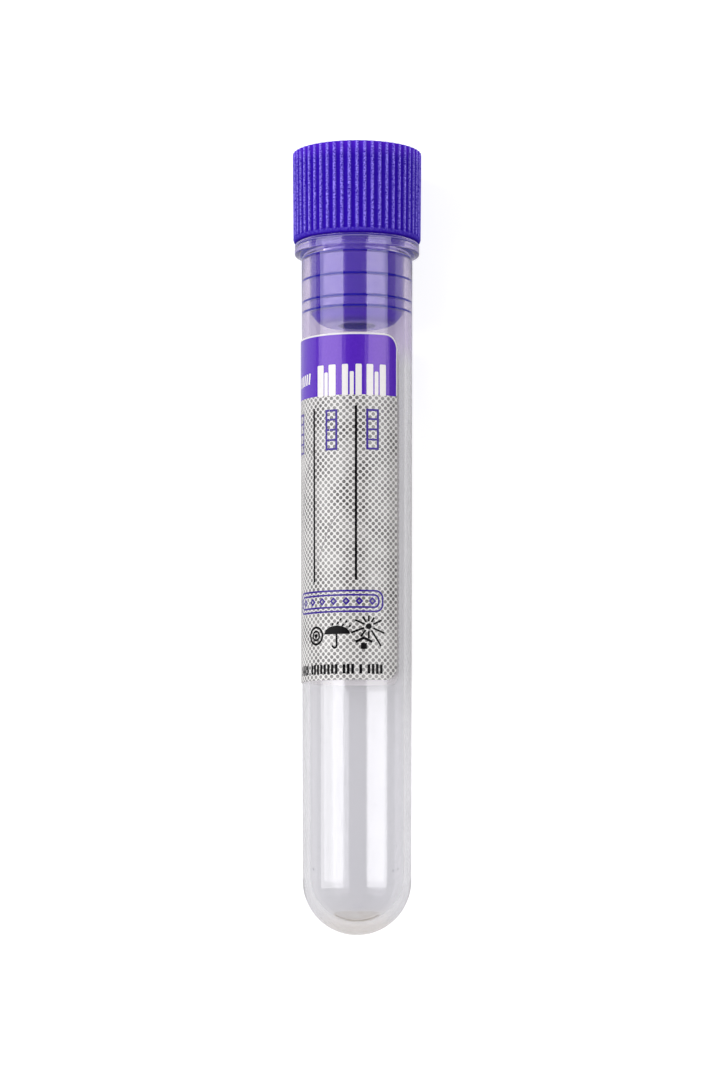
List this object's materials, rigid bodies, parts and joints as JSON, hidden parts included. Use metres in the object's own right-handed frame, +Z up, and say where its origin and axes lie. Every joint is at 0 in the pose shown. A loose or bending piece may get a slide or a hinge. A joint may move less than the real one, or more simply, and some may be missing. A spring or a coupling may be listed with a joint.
{
  "type": "blood collection tube",
  "caption": "Clear round-bottomed sample tube lying on its side, with a collar, a wrap-round paper label and a violet fluted push-in stopper with sealing lips.",
  "frame": {"origin": "on the surface that the tube lies on, under the middle of the whole", "axes": "+X towards the stopper, along the surface; +Z up from the surface; the tube's own axis rises 0.924 degrees from +X towards the stopper, as it does at rest, because the stopper's head is wider than the round bottom"},
  "size_m": [0.0851, 0.014, 0.0141],
  "materials": {
    "clear_polypropylene": "gloss",
    "violet_polyethylene": "satin",
    "label_paper": "satin",
    "dried_additive": "gloss"
  },
  "bodies": {
    "tube": {"tube": "clear_polypropylene", "label": "label_paper", "additive_film": "dried_additive"},
    "stopper": {"stopper": "violet_polyethylene"}
  },
  "joints": [
    {"name": "stopper_pull", "type": "slide", "parent": "tube", "child": "stopper", "axis": [0.9999, 0, 0.0161], "range_m": [0, 0.02]}
  ]
}
